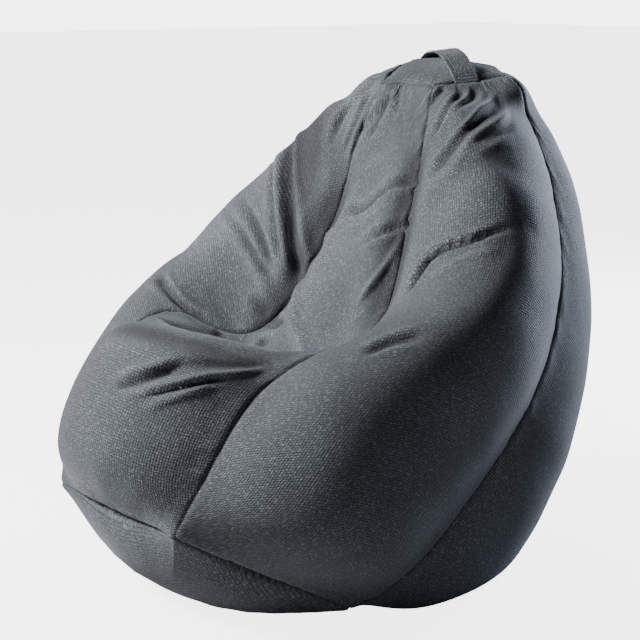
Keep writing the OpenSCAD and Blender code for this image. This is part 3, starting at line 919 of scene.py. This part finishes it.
def inner_shell(name, depth, first, last, closed, mat):
    """A layer under the cover, offset inwards: every fourth column from first to last."""
    rows = np.arange(0, len(fine.h), 2)
    cols = np.arange(first, last + (0 if closed else 1), 4) % cover.shape[1]
    inside = (inner_cover - fine.n * (depth + fold_depth)[..., None])[np.ix_(rows, cols)]
    poles = [q + np.array([0, 0, s * depth]) for q, s in zip(fine.poles(cover), (1, -1))]
    m, n = inside.shape[:2]
    verts = np.concatenate([inside.reshape(-1, 3), poles])
    faces = grid_faces(m, n)
    if not closed:
        # The faces between the last column and the first are left out
        in_ring = [[v % n for v in f if v < m * n] for f in faces]
        faces = [f for f, at in zip(faces, in_ring) if max(at) - min(at) < n - 1]
    return new_object(name, verts, faces, [mat])


# The layers under the cover keep clear of its folds: the depth of each is spread around it
fold_depth = np.maximum(0, -(shift + seam_shape(fine, fine.p)))
for _ in range(7):
    rolled = [np.roll(fold_depth, k, axis) for k in (-1, 0, 1) for axis in (0, 1)]
    fold_depth = np.maximum.reduce(rolled)
inner_cover = fine.p + cloth_shift
half_turn = cover.shape[1] // 2
front_col = per // 2
for node, first, sign in (("liner_right", front_col, 1), ("liner_left", front_col + half_turn, -1)):
    liner = inner_shell("lining_" + node, LINER_DEPTH, first, first + half_turn, False, LINER)
    # The two halves stay apart in the middle plane
    co = np.array([v.co for v in liner.data.vertices])
    co[:, 0] = np.where(np.abs(co[:, 0]) < 0.002, sign * 0.1 * MM, co[:, 0])
    liner.data.vertices.foreach_set("co", co.astype(np.float32).ravel())
    thick = liner.modifiers.new("thickness", "SOLIDIFY")
    thick.thickness = LINER_T
    thick.offset = -1
    apply_modifiers(liner)
    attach(liner, "bag")
    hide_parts(node)
filling = inner_shell("bead_fill", FILLING_DEPTH, 0, cover.shape[1], True, bead_material())
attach(filling, "bag")
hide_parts("bead_filling")

# -------------------- carry strap
# X runs along the strap, which is the line it swings about, Z out of the cap and Y across both
STRAP_X = np.array(joints["strap_swing"]["axis"], float)
STRAP_Z = CAP_N
STRAP_Y = np.cross(STRAP_Z, STRAP_X)
# Half its span, how high its arc rises over that, its width and its thickness
STRAP_HALF, STRAP_RISE, STRAP_W, STRAP_T = 0.106, 0.05, 0.05, 0.003
ARC_R = (STRAP_HALF**2 + STRAP_RISE**2) / (2 * STRAP_RISE)
cap_mid = placed(CAP_C)


def strap_point(x, y, lift):
    """x along the strap, y across it, lift out of its outer face; all in metres."""
    ang = x / ARC_R
    r = ARC_R + lift
    along, high = r * math.sin(ang), r * math.cos(ang) + STRAP_RISE - ARC_R
    return cap_mid + along * STRAP_X + y * STRAP_Y + high * STRAP_Z


def tube_faces(m, n, flipped=False):
    """Quads between m rings of n points, with a face at each end."""
    k = np.arange(m * n).reshape(m, n)
    nxt = np.roll(k, -1, 1)
    faces = np.stack([k[:-1], k[1:], nxt[1:], nxt[:-1]], -1).reshape(-1, 4).tolist()
    faces += [k[0].tolist(), k[-1][::-1].tolist()]
    return [f[::-1] for f in faces] if flipped else faces


def sweep(name, rings, mats):
    """One tube through rings of points, as an object."""
    rings = np.array(rings)
    return new_object(name, rings.reshape(-1, 3), tube_faces(*rings.shape[:2]), mats)


class Tubes:
    """Many small tubes, gathered for one object."""

    def __init__(self):
        self.verts, self.faces = [], []

    def add(self, rings, flipped):
        first = len(self.verts)
        faces = tube_faces(len(rings), len(rings[0]), flipped)
        self.faces += [tuple(first + i for i in f) for f in faces]
        self.verts += [point for ring in rings for point in ring]


def turns(count, start=0.0):
    """Angles of one turn, in radians."""
    return [2 * math.pi * (k + start) / count for k in range(count)]


def rounded_band(half, thick, roll):
    """Outline of a folded strap's section: flat, with its edges rolled round."""
    r = thick / 2
    edge = []
    for k in range(7):
        b = math.pi * (0.5 - k / 6)
        edge.append((half - r + math.cos(b) * r, -r + math.sin(b) * r))
    inner = [(x * half, -thick) for x in (0.8, 0.6, 0.3, 0, -0.3, -0.6, -0.8)]
    across = (-0.9, -0.8, -0.6, -0.3, 0, 0.3, 0.6, 0.8, 0.9)
    outer = [(x * half, roll * (1 - x * x)) for x in across]
    return edge + inner + [(-x, z) for x, z in edge[::-1]] + outer


# The strap runs a little way past its seams, into the cap
STRAP_END = ARC_R * math.asin((STRAP_HALF + 0.0035) / ARC_R)


def strap_band():
    """The folded cloth of the strap, slightly uneven and narrower towards its ends."""
    section = rounded_band(STRAP_W / 2, STRAP_T, 0.0004)
    rings = []
    for x in np.linspace(-STRAP_END, STRAP_END, 71):
        sag = 0.0006 * math.sin(x * 61) + 0.0004 * math.sin(x * 137 + 1)
        width = 1 - 0.02 * abs(x) / STRAP_END
        rings.append([strap_point(x, y * width, z + sag) for y, z in section])
    return sweep("carry_strap", rings, [COVER, THREAD])


def strap_stitches():
    """Rows of stitches near both edges, on both faces."""
    pitch, length, inset, margin = 0.0046, 0.0034, 0.0042, 0.008
    shape = ((0, 0.0002), (0.16, 0.00045), (0.5, 0.0005), (0.84, 0.00045), (1, 0.0002))
    stitches = Tubes()
    for y in (-STRAP_W / 2 + inset, STRAP_W / 2 - inset):
        for face_z in (0.0003, -STRAP_T - 0.0002):
            for x in np.arange(-STRAP_END + margin, STRAP_END - margin, pitch):
                rings = []
                for part, r in shape:
                    at = x + part * length
                    rings.append([
                        strap_point(at, y + r * math.cos(c) * 1.3, face_z + r * math.sin(c))
                        for c in turns(6)
                    ])
                stitches.add(rings, flipped=True)
    return new_object("strap_stitches", stitches.verts, stitches.faces, [THREAD])


def join(objs):
    """Puts objects together into the first of them."""
    for o in bpy.context.selected_objects:
        o.select_set(False)
    for o in objs:
        o.select_set(True)
    bpy.context.view_layer.objects.active = objs[0]
    bpy.ops.object.join()
    return objs[0]


THREAD = thin_cloth("thread", rgb(0.05, 0.055, 0.065), rgb(0.13, 0.14, 0.16), 0.0006, 0.6)
strap = strap_band()
strap_co = np.array([v.co for v in strap.data.vertices])
vertex_uv(strap, strap_co @ np.stack([STRAP_Y, STRAP_X], 1))
# The strap is painted lighter, as the cover's ridges are: a painted highlight
float_attribute(strap, "relief_painted_shade", np.full(len(strap.data.vertices), 2.0))
strap = join([strap, strap_stitches()])
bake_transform(strap)
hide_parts("carry_handle", "handle_end_front", "handle_end_rear")

# -------------------- zip
ZIP_OUT = ZIP_R - 0.3 * MM
ZIP_A0 = math.asin((ZIP_LO[2] - ZIP_C[2]) / ZIP_OUT)
ZIP_A1 = math.asin((ZIP_HI[2] - ZIP_C[2]) / ZIP_OUT)


def zip_point(a, x, lift):
    """a is the angle along the zip's arc, x the place across it, lift out of the cover."""
    r = ZIP_R + lift
    return (ZIP_C[0] + x, ZIP_C[1] + r * math.cos(a), ZIP_C[2] + r * math.sin(a))


TAPE = thin_cloth("zip_tape_weave", rgb(0.02, 0.022, 0.026), rgb(0.07, 0.075, 0.085), 0.0016, 0.8)
NYLON = thin_cloth("zip_coil", rgb(0.035, 0.038, 0.042), rgb(0.10, 0.105, 0.115), 0.0009, 0.4)
# Outline of a tape's section in mm: a cord beside the teeth, a flat web and a thicker hem
tape_section = [
    (2.8, -0.9), (3.2, -0.35), (4.0, -0.3), (4.6, -0.75), (5.6, -0.8), (6.4, -0.6), (9.0, -0.6),
    (13.0, -0.62), (14.8, -0.35), (15.7, -0.4), (16.0, -0.8), (15.7, -1.25), (14.8, -1.3),
    (13.0, -1.05), (9.0, -1.0), (6.4, -1.0), (4.6, -1.2), (4.0, -1.3), (3.2, -1.25),
]
for sign, node in ((1, "zip_tape_right"), (-1, "zip_tape_left")):
    rings = []
    for a in np.linspace(ZIP_A0, ZIP_A1, 150):
        ripple = 0.12 * math.sin(a * 260)
        ring = [
            zip_point(a, sign * x * MM, (z + ripple * (8 < x < 14)) * MM)
            for x, z in tape_section
        ]
        rings.append(ring if sign > 0 else ring[::-1])
    tape = sweep("woven_" + node, rings, [TAPE])
    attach(tape, "bag")
    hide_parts(node)


# A turn of the nylon coil, in mm: places across the zip, the lowest and highest there, its width
TOOTH = (
    (2.75, -0.9, 0.1, 0.5), (2.4, -1.3, 0.65, 0.8), (1.6, -1.4, 0.8, 0.85),
    (1.1, -1.1, 0.6, 1.0), (0.85, -0.6, 0.1, 0.6),
)
TOOTH_PITCH = 2.6 * MM / ZIP_R
CORD_STATIONS = 160


def coil_tooth(a, sign):
    """One turn of the nylon coil: a rounded rib from the tape's cord to the middle."""
    rings = []
    for x, lo, hi, w in TOOTH:
        mid, tall, turn = (lo + hi) / 2, (hi - lo) / 2, w * MM / ZIP_R
        rings.append([
            zip_point(a + math.cos(c) * turn, sign * x * MM, (mid + math.sin(c) * tall) * MM)
            for c in turns(8, 0.5)
        ])
    return rings


def coil_cord(start, end, sign):
    """The cord that the coil is wound on."""
    return [
        [
            zip_point(a, sign * (2.3 + 0.4 * math.cos(c)) * MM, (-0.3 + 0.7 * math.sin(c)) * MM)
            for c in turns(6)
        ]
        for a in np.linspace(start, end, CORD_STATIONS)
    ]


teeth_lo, teeth_hi = (np.array(c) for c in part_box("zip_teeth_right"))
TEETH_A0 = math.asin((teeth_lo[2] - ZIP_C[2]) / (ZIP_R + 0.8 * MM))
TEETH_A1 = math.asin((teeth_hi[2] - ZIP_C[2]) / (ZIP_R + 0.8 * MM))
for sign, node in ((1, "zip_teeth_right"), (-1, "zip_teeth_left")):
    # The two rows mesh: the left one starts half a pitch later
    start_a = TEETH_A0 + TOOTH_PITCH * (0.5 if sign > 0 else 1.0)
    row = Tubes()
    for a in np.arange(start_a, TEETH_A1 - TOOTH_PITCH * 0.4, TOOTH_PITCH):
        row.add(coil_tooth(a, sign), flipped=sign > 0)
    row.add(coil_cord(TEETH_A0 + 0.0005, TEETH_A1 - 0.0005, sign), flipped=sign < 0)
    teeth = new_object("coil_" + node, row.verts, row.faces, [NYLON])
    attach(teeth, "bag")
    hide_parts(node)


def metal_material():
    """Worn dark metal, brushed along the zip."""
    t = Tree("zip_metal")
    obj = t.object_coords()
    fine_x, *fine_yz = t.split(obj)
    lines = [t.math("MULTIPLY", fine_x, 1800)] + [t.math("MULTIPLY", c, 400) for c in fine_yz]
    brushed = t.noise(t.combine(*lines), 1.0, 3)
    wear = t.spread(t.noise(obj, 420, 3), 0.45, 0.65)
    return t.finish(
        Base_Color=t.mix(wear, rgb(0.19, 0.195, 0.205), rgb(0.34, 0.345, 0.355)),
        Metallic=1.0,
        Roughness=t.spread(brushed, 0.3, 0.7, 0.28, 0.46),
        Normal=t.bump(brushed, 0.15, 0.0001),
    )


METAL = metal_material()
for node in ("zip_slider", "zip_puller", "zip_top_stops", "zip_bottom_stop"):
    obj = frame["nodes"][node]
    obj.data.materials.clear()
    obj.data.materials.append(METAL)
    bevel = obj.modifiers.new("edges", "BEVEL")
    bevel.width = 0.18 * MM
    bevel.segments = 2
    bevel.limit_method = "ANGLE"
    bevel.angle_limit = math.radians(40)

# -------------------- stage
VIEW_AZ, VIEW_EL = math.radians(50.7), math.radians(13)
VIEW_DIST = 2.85
TARGET = Vector((0, 0, 0.43))
RIGHT = Vector((math.cos(VIEW_AZ), math.sin(VIEW_AZ), 0))
FORWARD = Vector((-math.sin(VIEW_AZ), math.cos(VIEW_AZ), 0))
BACK = FORWARD * -math.cos(VIEW_EL) + Vector((0, 0, math.sin(VIEW_EL)))


def add_camera():
    """The photograph's view: from the front right, a little higher than the cap."""
    data = bpy.data.cameras.new("camera")
    data.lens = 85
    data.sensor_width = 36
    data.shift_x = -0.0172
    data.shift_y = 0.0211
    camera = bpy.data.objects.new("camera", data)
    bpy.context.scene.collection.objects.link(camera)
    camera.location = TARGET + BACK * VIEW_DIST
    camera.rotation_euler = BACK.to_track_quat("Z", "Y").to_euler()
    bpy.context.scene.camera = camera


def area_light(name, right, forward, up, size, energy, colour):
    """A round light, placed from the target as the camera sees it and aimed at it."""
    data = bpy.data.lights.new(name, "AREA")
    data.shape = "DISK"
    data.size = size
    data.energy = energy
    data.color = colour
    obj = bpy.data.objects.new(name, data)
    bpy.context.scene.collection.objects.link(obj)
    obj.location = TARGET + RIGHT * right + FORWARD * forward + Vector((0, 0, up))
    obj.rotation_euler = (TARGET - obj.location).to_track_quat("-Z", "Y").to_euler()


def add_world():
    """A faint sky for the light, and white where the camera looks past the part."""
    world = bpy.data.worlds.new("world")
    bpy.context.scene.world = world
    world.use_nodes = True
    tree = world.node_tree
    sky = tree.nodes["Background"]
    sky.inputs["Color"].default_value = rgb(0.93, 0.95, 1.0)
    sky.inputs["Strength"].default_value = 0.045
    white = tree.nodes.new("ShaderNodeBackground")
    white.inputs["Color"].default_value = rgb(1, 1, 1)
    white.inputs["Strength"].default_value = 5.0
    pick = tree.nodes.new("ShaderNodeMixShader")
    rays = tree.nodes.new("ShaderNodeLightPath")
    tree.links.new(rays.outputs["Is Camera Ray"], pick.inputs[0])
    tree.links.new(sky.outputs[0], pick.inputs[1])
    tree.links.new(white.outputs[0], pick.inputs[2])
    tree.links.new(pick.outputs[0], tree.nodes["World Output"].inputs[0])


def floor_material():
    """Mid grey for the light it sends back, glowing white for the camera only."""
    t = Tree("floor")
    grain = t.noise(t.object_coords(), 40, 3)
    glow = t.nodes.new("ShaderNodeLightPath").outputs["Is Camera Ray"]
    return t.finish(
        Base_Color=t.mix(grain, rgb(0.38, 0.38, 0.38), rgb(0.42, 0.42, 0.42)),
        Roughness=0.9,
        Emission_Color=rgb(1, 1, 1),
        Emission_Strength=t.math("MULTIPLY", glow, 4.0),
    )


add_camera()
area_light("key", -2.6, -0.4, 1.85, 0.9, 350, (1.0, 0.99, 0.97))
area_light("rim", 2.4, 2.2, 0.8, 1.2, 290, (0.8, 0.88, 1.0))
area_light("fill", -1.2, -2.8, 1.2, 2.4, 3, (1.0, 1.0, 1.0))
add_world()
FLOOR = 30
floor_corners = [(x * FLOOR, y * FLOOR, 0) for x, y in ((-1, -1), (1, -1), (1, 1), (-1, 1))]
floor = new_object("floor", floor_corners, [(0, 1, 2, 3)], [floor_material()], False)
